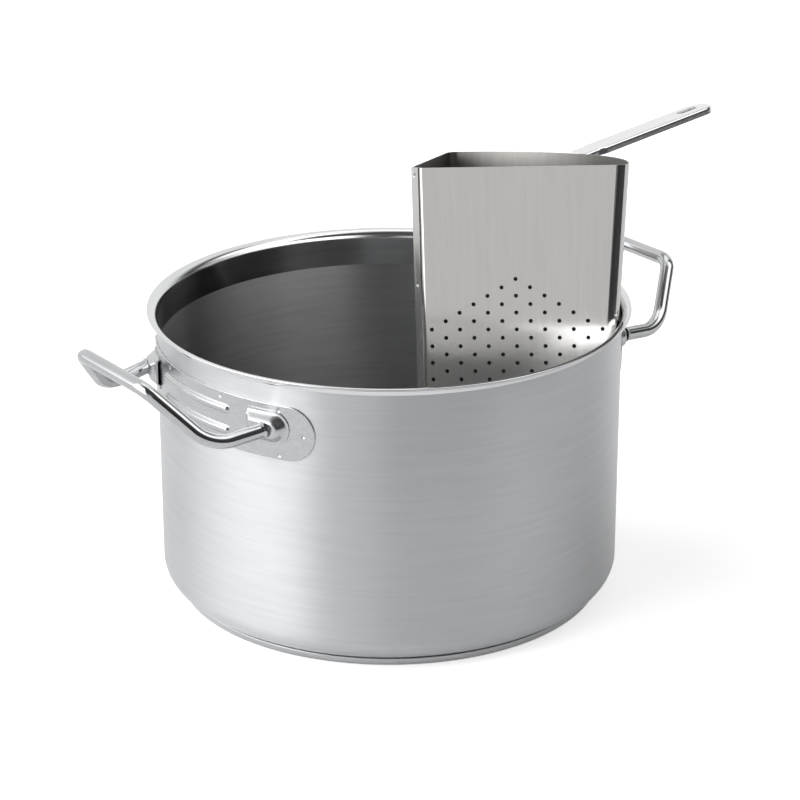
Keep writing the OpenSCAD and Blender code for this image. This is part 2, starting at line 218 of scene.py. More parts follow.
def make_piece(
    name: str, patches: list[Patch], finishes: list[bpy.types.Material], crease: float = 34.0
) -> bpy.types.Object:
    """Joins patches into one smooth-shaded closed mesh.

    Args:
        name: The piece's name.
        patches: Its surfaces, which share their edges.
        finishes: Materials in the order of the patches' slots.
        crease: Angle in degrees from which an edge shows sharp.

    Returns:
        The new object at the origin, not yet riding on a body.
    """
    first, faces, slots = 0, [], []
    for patch in patches:
        f, s = patch.cells(first)
        faces.append(f)
        slots.append(s)
        first += patch.points.shape[0] * patch.points.shape[1]
    coords = np.vstack([p.points.reshape(-1, 3) for p in patches]) * MM
    mesh = bpy.data.meshes.new(name)
    mesh.from_pydata(coords, [], np.vstack(faces))
    mesh.polygons.foreach_set("material_index", np.concatenate(slots).astype(np.int32))
    shape = bmesh.new()
    shape.from_mesh(mesh)
    bmesh.ops.remove_doubles(shape, verts=shape.verts, dist=0.002 * MM)
    bmesh.ops.dissolve_degenerate(shape, dist=0.001 * MM, edges=shape.edges)
    bmesh.ops.recalc_face_normals(shape, faces=shape.faces)
    shape.to_mesh(mesh)
    shape.free()
    return finish_piece(name, mesh, finishes, crease)


def finish_piece(
    name: str, mesh: bpy.types.Mesh, finishes: list[bpy.types.Material], crease: float
) -> bpy.types.Object:
    """Shades a mesh smooth up to a crease angle and links it as an object.

    Args:
        name: The piece's name.
        mesh: Its mesh, in metres.
        finishes: Its materials.
        crease: Angle in degrees from which an edge shows sharp.

    Returns:
        The linked object.
    """
    for finish in finishes:
        mesh.materials.append(finish)
    mesh.shade_smooth()
    mesh.set_sharp_from_angle(angle=math.radians(crease))
    piece = bpy.data.objects.new(name, mesh)
    bpy.context.scene.collection.objects.link(piece)
    return piece


def joined_copy(
    name: str, node: str, finish: bpy.types.Material, crease: float = 30.0
) -> bpy.types.Object:
    """Copy of a frame node with its loose triangles joined and its bends shaded smooth.

    Args:
        name: The piece's name.
        node: The frame node that it stands for.
        finish: Its material.
        crease: Angle in degrees from which an edge shows sharp.

    Returns:
        The linked object, whose flat faces keep their own direction at the bends.
    """
    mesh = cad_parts[node].data.copy()
    mesh.name = name
    mesh.materials.clear()
    shape = bmesh.new()
    shape.from_mesh(mesh)
    bmesh.ops.remove_doubles(shape, verts=shape.verts, dist=0.001 * MM)
    shape.to_mesh(mesh)
    shape.free()
    piece = finish_piece(name, mesh, [finish], crease)
    weights = piece.modifiers.new("flat faces first", "WEIGHTED_NORMAL")
    weights.keep_sharp = True
    return piece


def place(piece: bpy.types.Object, body: str, slot: str, *nodes: str) -> bpy.types.Object:
    """Lets a piece ride a body and stand for frame nodes.

    Args:
        piece: The finished piece.
        body: The body that carries it.
        slot: The record's material slot; not used.
        *nodes: The frame nodes that it stands for.

    Returns:
        The same piece.
    """
    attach(piece, body)
    if nodes:
        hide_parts(*nodes)
    stands_for = ", ".join(nodes) or "no node"
    log.info("%s: %d faces, for %s", piece.name, len(piece.data.polygons), stands_for)
    return piece


# Finishes


def linear(code: str) -> tuple[float, float, float, float]:
    """Linear colour of an sRGB hex value.

    A part c is c / 12.92 up to 0.04045, and ((c + 0.055) / 1.055) ** 2.4 above.

    Args:
        code: The colour as # and six hex digits.

    Returns:
        Its red, green and blue parts and an alpha of one.
    """
    c = np.array([int(code[i : i + 2], 16) for i in (1, 3, 5)]) / 255.0
    r, g, b = np.where(c <= 0.04045, c / 12.92, ((c + 0.055) / 1.055) ** 2.4)
    return float(r), float(g), float(b), 1.0


def add(
    tree: bpy.types.NodeTree, kind: str, inputs: dict | None = None, **settings: object
) -> bpy.types.Node:
    """Adds a node with its settings and links.

    Args:
        tree: The node tree that gets it.
        kind: The node's type name.
        inputs: Socket name or number to a value, or to the output that feeds it.
        **settings: The node's own properties.

    Returns:
        The new node.
    """
    node = tree.nodes.new(kind)
    for key, value in settings.items():
        setattr(node, key, value)
    for key, value in (inputs or {}).items():
        if isinstance(value, bpy.types.NodeSocket):
            tree.links.new(value, node.inputs[key])
        else:
            node.inputs[key].default_value = value
    return node


def new_material(name: str) -> tuple[bpy.types.Material, bpy.types.NodeTree]:
    """Makes a material with an empty node tree.

    Args:
        name: The material's name.

    Returns:
        The material and its node tree.
    """
    made = bpy.data.materials.new(name)
    made.use_nodes = True
    made.node_tree.nodes.clear()
    return made, made.node_tree


def metal_rays(tree: bpy.types.NodeTree, path: bpy.types.Node) -> bpy.types.NodeSocket:
    """One for the rays by which metal and glass show the background, else zero.

    Args:
        tree: The node tree.
        path: Its light path node.

    Returns:
        The output that carries the sum of glossy and transmission rays.
    """
    kinds = {0: path.outputs["Is Glossy Ray"], 1: path.outputs["Is Transmission Ray"]}
    return add(tree, "ShaderNodeMath", kinds, operation="ADD").outputs[0]


@dataclass(frozen=True)
class SteelFinish:
    """Stainless sheet or tube with polishing marks.

    The marks are long noise streaks: many to the millimetre across the grain and few along
    it. They shade the colour a little, roughen the shine and cut fine grooves.
    """

    name: str
    bright: str
    dull: str
    roughness: tuple[float, float]
    grain: Grain
    mark_mm: float
    run_mm: float
    groove_um: float
    anisotropy: float = 0.0
    stain: float = 0.05

    def axes(self) -> tuple[Array, Array, Array]:
        """Directions of a grain that runs straight.

        Returns:
            Two directions across the marks, and the one along them.
        """
        if self.grain is Grain.LEVEL:
            return np.eye(3)[2], np.eye(3)[0], np.eye(3)[1]
        across, level, up = HANG.turn.T
        if self.grain is Grain.UPRIGHT:
            return across, level, up
        grip = HANG.turn @ unit(np.array([1.0, 1.0, 0.3]))
        return unit(np.cross(grip, up)), up, grip

    def streaks(
        self, tree: bpy.types.NodeTree, mark_mm: float, run_mm: float
    ) -> bpy.types.NodeSocket:
        """Texture coordinates that are stretched along the marks.

        Args:
            tree: The material's node tree.
            mark_mm: Spacing of the marks across the grain.
            run_mm: Length of a mark.

        Returns:
            The output that carries the coordinates.
        """
        place_at = add(tree, "ShaderNodeTexCoord").outputs["Object"]
        if self.grain is Grain.ROUND:
            xyz = add(tree, "ShaderNodeSeparateXYZ", {0: place_at}).outputs
            flat = add(tree, "ShaderNodeCombineXYZ", {0: xyz[0], 1: xyz[1]}).outputs[0]
            out = add(tree, "ShaderNodeVectorMath", {0: flat}, operation="LENGTH").outputs["Value"]
            step = add(tree, "ShaderNodeMath", {0: out, 1: xyz[2]}, operation="ADD").outputs[0]
            joined = add(tree, "ShaderNodeCombineXYZ", {0: xyz[0], 1: xyz[1], 2: step}).outputs[0]
            scale = (1.0 / (run_mm * MM), 1.0 / (run_mm * MM), 1.0 / (mark_mm * MM))
            scaled = {0: joined, 1: scale}
            return add(tree, "ShaderNodeVectorMath", scaled, operation="MULTIPLY").outputs[0]
        parts = {}
        for i, (axis, size) in enumerate(zip(self.axes(), (mark_mm, mark_mm, run_mm))):
            along = {0: place_at, 1: tuple(axis / (size * MM))}
            part = add(tree, "ShaderNodeVectorMath", along, operation="DOT_PRODUCT")
            parts[i] = part.outputs["Value"]
        return add(tree, "ShaderNodeCombineXYZ", parts).outputs[0]

    def round_tangent(self, tree: bpy.types.NodeTree) -> bpy.types.NodeSocket:
        """Direction round the pot's axis: the Z axis cross the place.

        Args:
            tree: The material's node tree.

        Returns:
            The output that carries the direction, of length one.
        """
        axis_and_place = {0: (0.0, 0.0, 1.0), 1: add(tree, "ShaderNodeTexCoord").outputs["Object"]}
        crossed = add(tree, "ShaderNodeVectorMath", axis_and_place, operation="CROSS_PRODUCT")
        return add(
            tree, "ShaderNodeVectorMath", {0: crossed.outputs[0]}, operation="NORMALIZE"
        ).outputs[0]

    def material(self) -> bpy.types.Material:
        """Builds the finish as a material.

        Returns:
            The new material.
        """
        made, tree = new_material(self.name)

        def noise(
            vector: bpy.types.NodeSocket, scale: float, detail: float, rough: float = 0.5
        ) -> bpy.types.NodeSocket:
            """Noise at the given coordinates, scale, detail and roughness."""
            inputs = {"Vector": vector, "Scale": scale, "Detail": detail, "Roughness": rough}
            return add(tree, "ShaderNodeTexNoise", inputs).outputs[0]

        fine = noise(self.streaks(tree, self.mark_mm, self.run_mm), 1.0, 3.0, 0.6)
        broad = noise(self.streaks(tree, self.mark_mm * 7.0, self.run_mm * 1.6), 1.0, 2.0)
        cloud = noise(add(tree, "ShaderNodeTexCoord").outputs["Object"], 14.0, 2.0)
        marks = add(tree, "ShaderNodeMath", {0: fine, 1: broad}, operation="ADD").outputs[0]
        marks = add(tree, "ShaderNodeMath", {0: marks, 1: 0.5}, operation="MULTIPLY").outputs[0]
        stained = {0: cloud, 1: self.stain, 2: marks}
        tone = add(tree, "ShaderNodeMath", stained, operation="MULTIPLY_ADD").outputs[0]
        ramp = add(tree, "ShaderNodeValToRGB", {0: tone})
        stops = ((0.34, self.dull), (0.66, self.bright))
        for stop, (at, colour) in zip(ramp.color_ramp.elements, stops):
            stop.position, stop.color = at, linear(colour)
        shine = add(
            tree,
            "ShaderNodeMapRange",
            {0: marks, 1: 0.3, 2: 0.7, 3: self.roughness[0], 4: self.roughness[1]},
        ).outputs[0]
        height = {"Height": marks, "Strength": 1.0, "Distance": self.groove_um * 1e-6}
        grooves = add(tree, "ShaderNodeBump", height).outputs[0]
        inputs = {"Base Color": ramp.outputs[0], "Metallic": 1.0, "Roughness": shine}
        inputs["Normal"] = grooves
        if self.anisotropy:
            inputs |= {
                "Anisotropic": self.anisotropy,
                "Anisotropic Rotation": 0.25,
                "Tangent": self.round_tangent(tree),
            }
        steel = add(tree, "ShaderNodeBsdfPrincipled", inputs)
        add(tree, "ShaderNodeOutputMaterial", {0: steel.outputs[0]})
        return made


# The finishes. Real polishing marks are about 0.1 mm apart, too fine to show at this size,
# so they are drawn five to ten times as coarse.

# Spun steel rubbed with a belt while it turns: level streaks, a shine drawn out up and down.
WALL_OUTSIDE = SteelFinish(
    "stainless_belt_brushed_outside", "#CDCECF", "#C4C5C6", (0.36, 0.4),
    Grain.ROUND, 0.5, 40.0, 5.0, 0.9,
)
# The same steel inside, coarser, so that single level scratches show; its darker colour is painted
# shade of the pot's inside.
WALL_INSIDE_PAINTED_SHADE = SteelFinish(
    "stainless_belt_brushed_inside", "#AEAFB0", "#9FA0A1", (0.42, 0.47),
    Grain.ROUND, 0.5, 45.0, 5.0, 0.94,
)
# The flared rim is buffed bright after spinning.
RIM = SteelFinish(
    "stainless_buffed_rim", "#DDDEDF", "#D2D3D4", (0.13, 0.18), Grain.ROUND, 0.8, 70.0, 3.0
)
# The base cap is turned on its face, so it has fine rings.
BASE = SteelFinish(
    "stainless_turned_base_cap", "#CDCECF", "#BBBDBE", (0.26, 0.34),
    Grain.ROUND, 0.8, 80.0, 12.0, 0.5,
)
# Plain rolled aluminium, shut in under the floor.
CORE = SteelFinish(
    "aluminium_rolled_disc", "#D5D6D7", "#C6C7C8", (0.38, 0.46), Grain.LEVEL, 0.6, 30.0, 6.0
)
# Pressed sheet with its satin mill surface: pale, with soft reflections.
PLATE = SteelFinish(
    "stainless_satin_pressing", "#C6C7C8", "#B9BABB", (0.24, 0.3), Grain.LEVEL, 0.5, 22.0, 5.0
)
# Drawn tube, buffed to a mirror: streaks of light and dark along it.
TUBE = SteelFinish(
    "stainless_mirror_tube", "#C3C4C5", "#B8B9BA", (0.07, 0.11), Grain.LEVEL, 1.0, 30.0, 1.5
)
# Cold-rolled sheet with upright grain and a soft mirror.
SHEET = SteelFinish(
    "stainless_cold_rolled_sheet", "#CFCDCA", "#CAC8C5", (0.11, 0.13), Grain.UPRIGHT, 0.6, 45.0, 1.2
)
# Its other side keeps the mill's duller skin; its much darker colour is painted shade inside the
# strainer.
INNER_PAINTED_SHADE = SteelFinish(
    "stainless_mill_finish_inside", "#8F8D8A", "#83817E", (0.34, 0.42),
    Grain.UPRIGHT, 0.6, 45.0, 4.0,
)
# Sheared and spot-welded strips of the same sheet, a little duller.
STRIP = SteelFinish(
    "stainless_sheared_strip", "#D4D3D1", "#C5C4C2", (0.22, 0.3), Grain.UPRIGHT, 0.6, 30.0, 4.0
)
# The pressed handle is buffed lengthwise.
GRIP = SteelFinish(
    "stainless_buffed_channel", "#E6E7E7", "#DDDEDE", (0.14, 0.2), Grain.ALONG_GRIP, 0.6, 40.0, 2.0
)


# The pot


@dataclass
class Pot:
    """The spun shell and its heat-spreading base."""

    wall_r: float = 180.0
    height: float = 229.0
    wall: float = 1.2
    corner_r: float = 18.0
    flare_r: float = 6.0
    lip_flat: float = 1.2
    base_h: float = 6.5
    base_r: float = 167.7
    cap_gap: float = 0.6
    cap_edge_r: float = 2.5
    cap_wall: float = 0.8
    cap_round: float = 0.5
    gap: float = 0.02
    turns: int = 384

    def shell(self) -> bpy.types.Object:
        """The shell: floor, wall, flared rim with a rounded edge, and back down inside.

        Returns:
            The piece, turned from one closed profile.
        """
        edge = self.wall / 2.0
        lip_r = self.wall_r + self.flare_r + self.lip_flat
        flare_r, flare_z = self.wall_r + self.flare_r, self.height - self.flare_r - self.wall
        low_r, low_z = self.wall_r - self.corner_r, self.base_h + self.corner_r
        inner_r, floor_z = self.wall_r - self.wall, self.base_h + self.wall
        outside = np.vstack([
            np.stack([np.linspace(0.0, low_r, 12)[:-1], np.full(11, self.base_h)], axis=-1),
            arc(low_r, low_z, self.corner_r, -90.0, 0.0, 14),
            np.stack([np.full(8, self.wall_r), np.linspace(low_z, flare_z, 10)[1:-1]], axis=-1),
        ])
        rim = np.vstack([
            arc(flare_r, flare_z, self.flare_r, 180.0, 90.0, 12),
            arc(lip_r - edge, self.height - edge, edge, -90.0, 90.0, 8),
            arc(flare_r, flare_z, self.flare_r + self.wall, 90.0, 180.0, 12),
        ])
        inside = np.vstack([
            np.stack([np.full(8, inner_r), np.linspace(flare_z, low_z, 10)[1:-1]], axis=-1),
            arc(low_r, low_z, self.corner_r - self.wall, 0.0, -90.0, 14),
            np.stack([np.linspace(low_r, 0.0, 12)[1:], np.full(11, floor_z)], axis=-1),
        ])
        profile = np.vstack([outside, rim, inside])
        column = np.arange(len(profile) - 1)
        from_rim, from_inside = len(outside), len(outside) + len(rim)
        slot = np.where(column < from_rim, 0, np.where(column < from_inside, 1, 2))
        grid = Patch(turned(profile, self.turns), round_rows=True, slot=slot[None])
        # The inside's darker colour is painted shade of the pot's inside.
        finishes = [WALL_OUTSIDE.material(), RIM.material(), WALL_INSIDE_PAINTED_SHADE.material()]
        return make_piece("pot_shell", [grid], finishes, crease=50.0)

    def cap(self) -> bpy.types.Object:
        """The cap over the base: a flat face, a rounded edge and an upstanding lip.

        Returns:
            The piece, turned from one closed profile.
        """
        top, edge_r = self.base_h - self.cap_gap, self.cap_edge_r
        inner, face = self.base_r - edge_r + self.gap, self.cap_wall - self.gap
        profile = np.vstack([
            np.stack([np.linspace(0.0, self.base_r - edge_r, 14)[:-1], np.zeros(13)], axis=-1),
            arc(self.base_r - edge_r, edge_r, edge_r, -90.0, 0.0, 8),
            arc(self.base_r - self.cap_round, top - self.cap_round, self.cap_round, 0.0, 90.0, 4),
            [[inner, top], [inner, face], [0.0, face]],
        ])
        grid = Patch(turned(profile, self.turns), round_rows=True)
        return make_piece("base_cap_dressed", [grid], [BASE.material()], crease=40.0)

    def build(self) -> None:
        """Makes both pieces and dresses the disc between them."""
        place(self.shell(), "pot", "brushed_stainless", "pot_body")
        place(self.cap(), "pot", "brushed_stainless", "base_cap")
        dress_node("base_core", CORE.material())


def dress_node(node: str, finish: bpy.types.Material) -> None:
    """Gives a frame node a finish, its mesh left as it is.

    Args:
        node: The frame node's name.
        finish: Its material.
    """
    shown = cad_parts[node]
    shown.data.materials.clear()
    shown.data.materials.append(finish)
    log.info("%s: dressed in %s", node, finish.name)


@dataclass
class SideHandle:
    """One side handle: backing plate with two ribs, two pressed saddles and a bent tube."""

    side: Side
    plate: bpy.types.Material
    tube: bpy.types.Material
    wall_r: float = 180.0
    plate_t: float = 1.2
    plate_h: float = 42.5
    plate_z: float = 186.3
    plate_half: float = 95.0
    rib_half: float = 41.0
    rib_pitch: float = 16.5
    rib_out: float = 2.4
    rib_reach: float = 3.9
    saddle_arc: float = 79.5
    saddle_h: float = 26.0
    saddle_up: float = 3.2
    saddle_out: float = 7.5
    saddle_half: float = 17.0
    saddle_t: float = 1.4
    saddle_slit: float = 2.0
    tube_r: float = 5.5
    bend_low_r: float = 32.0
    bend_grip_r: float = 15.0
    low_corner: tuple[float, float, float] = (211.0, 75.0, -5.0)
    grip_corner: tuple[float, float, float] = (246.5, 45.0, 37.0)
    weld_edge: float = 6.0
    weld_up: float = 3.8
    dimple_r: float = 2.1
    dimple_slope: float = 1.5
    dimple_d: float = 0.55
    edge_r: float = 0.7
    rib_slope: float = 2.9
    saddle_edge: float = 0.9
    flank_from: float = 1.2
    flank_run: float = 6.8
    lip_run: float = 5.0
    tube_sunk: float = 0.5
    bead_h: float = 0.9
    bead_run: float = 2.6
    gap: float = 0.02

    def on_wall(self, along: Array, height: Array, out: Array) -> Array:
        """Wraps flat places round the pot's wall.

        The angle is the distance along the wall over its radius, and the distance from the
        axis is the wall's radius plus how far the place stands out.

        Args:
            along: Distance round the wall from the handle's middle.
            height: Height above the base.
            out: Distance out from the wall.

        Returns:
            The places in space, on this handle's side.
        """
        a = along / self.wall_r
        r = self.wall_r + self.gap + out
        xy = np.stack([r * np.cos(a), r * np.sin(a)], axis=-1) * self.side.value
        return np.concatenate([xy, (height + 0.0 * a)[..., None]], axis=-1)

    def relief(self, along: Array, up: Array) -> Array:
        """Height of the plate's front above its back.

        It is the sheet's thickness, less a quarter round at the edge, plus the two ribs as
        smooth ridges round a short line, less a shallow round dimple at each spot weld.

        Args:
            along: Distance round the wall from the handle's middle.
            up: Distance above the plate's middle line.

        Returns:
            The height at each place.
        """
        half = self.plate_h / 2.0
        past = np.maximum(np.abs(along) - self.plate_half, 0.0)
        r = self.edge_r
        edge = np.clip(half - np.hypot(past, up), 0.0, r)
        front = self.plate_t - r + np.sqrt(np.maximum(r * r - (r - edge) ** 2, 0.0))
        for centre in (-self.rib_pitch / 2.0, self.rib_pitch / 2.0):
            away = np.hypot(np.maximum(np.abs(along) - self.rib_half, 0.0), up - centre)
            front = front + self.rib_out * ease((self.rib_reach - away) / self.rib_slope)
        tip = self.plate_half + half - 1.5 * self.weld_edge
        mid = self.saddle_arc + self.saddle_half / 2.0
        high = half - self.weld_up
        for s, z in ((tip, 0.0), (mid, high), (mid, -high), (self.rib_half - self.weld_edge, high)):
            away = np.hypot(np.abs(along) - s, up - z)
            front = front - self.dimple_d * ease((self.dimple_r - away) / self.dimple_slope)
        return front

    def backing_plate(self) -> bpy.types.Object:
        """The long plate with round ends.

        Rows go once round the outline and columns from the middle line out to the edge, so
        that a place is its middle point plus a share of the half height along the outward
        direction. The back is the same outline at no height.

        Returns:
            The piece.
        """
        half, length = self.plate_h / 2.0, self.plate_half
        run = np.linspace(-length, length, 360)
        a = np.radians(np.linspace(90.0, -90.0, 90))[1:-1]
        foot = np.concatenate([run, np.full(a.size, length), run[::-1], np.full(a.size, -length)])
        out = np.concatenate([np.zeros(run.size), np.cos(a), np.zeros(run.size), -np.cos(a)])
        lift = np.concatenate([np.ones(run.size), np.sin(a), -np.ones(run.size), -np.sin(a)])
        near_edge = 1.0 - 0.035 * (1.0 - np.sin(np.linspace(0.2, 1.5708, 6)))
        share = np.concatenate([np.linspace(0.0, 0.965, 50), near_edge])
        along = foot[:, None] + out[:, None] * share * half
        up = lift[:, None] * share * half
        ends = [-1, 0]
        flat = np.zeros((foot.size, len(ends)))
        front = self.on_wall(along, self.plate_z + up, self.relief(along, up))
        back = self.on_wall(along[:, ends], self.plate_z + up[:, ends], flat)
        rim = np.stack([front[:, -1], back[:, 0]], axis=1)
        patches = [Patch(grid, round_rows=True) for grid in (front, rim, back)]
        name = f"handle_plate_{self.side.name.lower()}_dressed"
        return make_piece(name, patches, [self.plate], crease=40.0)

    def saddle(self, end: End) -> bpy.types.Object:
        """One pressed saddle: a raised bridge with a round end and a lip over a slit.

        With d the distance in from the outline's long sides and round end, its front rises
        from the sheet's edge to full height as a smooth step of d. It also rises so from the
        lip at the end towards the grip. Its inside is the front less the sheet's thickness.

        Args:
            end: Which end of the handle it sits at.

        Returns:
            The piece.
        """
        r, base = self.saddle_h / 2.0, self.plate_t + self.gap
        y = r * np.sin(np.radians(np.linspace(-90.0, 90.0, 56)))[None]
        reach = self.saddle_half - r + np.sqrt(np.maximum(r * r - y * y, 0.0))
        u = np.sin(np.linspace(0.0, np.pi / 2.0, 40))[:, None]
        s = -self.saddle_half + u * (reach + self.saddle_half)
        d = r - np.hypot(np.maximum(s - (self.saddle_half - r), 0.0), y)
        edge = self.saddle_edge
        rise = edge + (self.saddle_out - edge) * ease((d - self.flank_from) / self.flank_run)
        lip = self.saddle_slit + self.saddle_t
        from_lip = ease((s + self.saddle_half) / self.lip_run)
        rise = np.minimum(rise, lip + (self.saddle_out - lip) * from_lip)
        inside = np.clip(rise - self.saddle_t, 0.0, None)
        along = end.value * (self.saddle_arc + s)
        z = self.plate_z + self.saddle_up + y + 0.0 * s
        front = self.on_wall(along, z, base + rise)
        under = self.on_wall(along, z, base + inside)
        edge_foot = self.on_wall(along, z, base + 0.0 * rise)
        patches = [
            Patch(front),
            Patch(under),
            Patch(np.stack([front[0], under[0]])),
            Patch(np.stack([front[-1], edge_foot[-1], under[-1]])),
            Patch(np.stack([front[:, 0], edge_foot[:, 0], under[:, 0]])),
            Patch(np.stack([front[:, -1], edge_foot[:, -1], under[:, -1]])),
        ]
        return make_piece(f"{self.saddle_node(end)}_dressed", patches, [self.plate], crease=40.0)

    def saddle_node(self, end: End) -> str:
        """The frame node of a saddle: on the left handle the front and rear ends swap."""
        rear = end.value * self.side.value > 0
        return f"handle_saddle_{self.side.name.lower()}_{'rear' if rear else 'front'}"

    def bent_tube(self) -> bpy.types.Object:
        """The bent tube, with a small weld bead where each end meets its saddle.

        Returns:
            The piece, swept along straight runs and round bends.
        """
        root_r = self.wall_r + 2.0 * self.gap + self.plate_t + self.saddle_out - self.tube_sunk
        a = self.saddle_arc / self.wall_r
        low, grip = self.low_corner, self.grip_corner
        half = np.array([[root_r * math.cos(a), root_r * math.sin(a), 0.0], low, grip])
        corners = np.vstack([half, half[::-1] * [1.0, -1.0, 1.0]])
        corners[:, 2] += self.plate_z + self.saddle_up
        bends = [self.bend_low_r, self.bend_grip_r, self.bend_grip_r, self.bend_low_r]
        path = rounded_path(corners, bends, 26)
        ends = np.array([0.0, 0.6, 1.2, 1.8, 2.4, 3.0, 3.6])[:, None]
        first = path[0] + unit(path[1] - path[0]) * ends
        last = path[-1] + unit(path[-2] - path[-1]) * ends[::-1]
        path = np.vstack([first, path[1:-1], last])
        path[:, :2] *= self.side.value
        bead = np.zeros(len(path))
        bead[: ends.size] = self.bead_h * ease(1.0 - ends[:, 0] / self.bead_run)
        bead[-ends.size :] = bead[: ends.size][::-1]
        ref = np.array([-0.64 * self.side.value, 0.0, 0.77])
        grid = swept(path, self.tube_r + bead, ref, 48)
        name = f"handle_tube_{self.side.name.lower()}_dressed"
        return make_piece(name, [Patch(grid, round_columns=True)], [self.tube], crease=60.0)

    def build(self) -> None:
        """Makes the plate, the two saddles and the tube."""
        side = self.side.name.lower()
        place(self.backing_plate(), "pot", "satin_stainless", f"handle_plate_{side}")
        for end in End:
            place(self.saddle(end), "pot", "satin_stainless", self.saddle_node(end))
        place(self.bent_tube(), "pot", "bright_stainless", f"handle_tube_{side}")


# The strainer


@dataclass(frozen=True)
class Hanging:
    """Where the strainer hangs: its own frame's turn and the point that rests on the rim.

    In its own frame the inner corner lies on Z, the top edge is at zero and the flat walls
    run along X and Y.
    """

    rest_az: float = -5.5
    rest_r: float = 176.4
    rest_z: float = 231.707
    depth: float = 86.0
    top_r: float = 168.4
    draft: float = 4.72
    lean: float = 12.5
    lean_az: float = 62.1
    middle_az: float = -2.06
    middle_share: float = 0.42
    least_cos: float = 0.1

    @property
    def turn(self) -> Array:
        """Rotation of the strainer's frame: about Z, then the lean about Y, then about Z.

        Returns:
            The rotation as an array of three by three.
        """

        def about_z(degrees: float) -> Array:
            """Rotation about Z."""
            c, s = math.cos(math.radians(degrees)), math.sin(math.radians(degrees))
            return np.array([[c, -s, 0.0], [s, c, 0.0], [0.0, 0.0, 1.0]])

        c, s = math.cos(math.radians(self.lean)), math.sin(math.radians(self.lean))
        lean = np.array([[c, 0.0, s], [0.0, 1.0, 0.0], [-s, 0.0, c]])
        return about_z(self.lean_az) @ lean @ about_z(self.middle_az - 45.0 - self.lean_az)

    @property
    def rest(self) -> tuple[Array, Array]:
        """Where the strainer rests.

        Returns:
            The resting point in the strainer's own frame, and its place on the rim.
        """
        side = (self.top_r - self.depth * math.tan(math.radians(self.draft))) * math.sqrt(0.5)
        a = math.radians(self.rest_az)
        at = np.array([self.rest_r * math.cos(a), self.rest_r * math.sin(a), self.rest_z])
        return np.array([side, side, -self.depth]), at

    def place(self, points: Array) -> Array:
        """Moves points to the model's frame: turn (p - rest point) + place on the rim."""
        point, at = self.rest
        return (points - point) @ self.turn.T + at

    def faces_in(self, centres: Array, normals: Array) -> Array:
        """Which faces look into the strainer's space.

        In the strainer's own frame a face with centre p and level normal n looks in where
        n . (m - p) is above a tenth of the distance to m, the inner point at its height.

        Args:
            centres: Faces' centres in the model's frame.
            normals: Their outward directions.

        Returns:
            True for each face that looks in.
        """
        point, at = self.rest
        centres, normals = (centres - at) @ self.turn + point, normals @ self.turn
        to_middle = self.top_r * self.middle_share - centres[:, :2]
        far = np.linalg.norm(to_middle, axis=-1)
        return np.sum(normals[:, :2] * to_middle, axis=-1) > self.least_cos * far


HANG = Hanging()


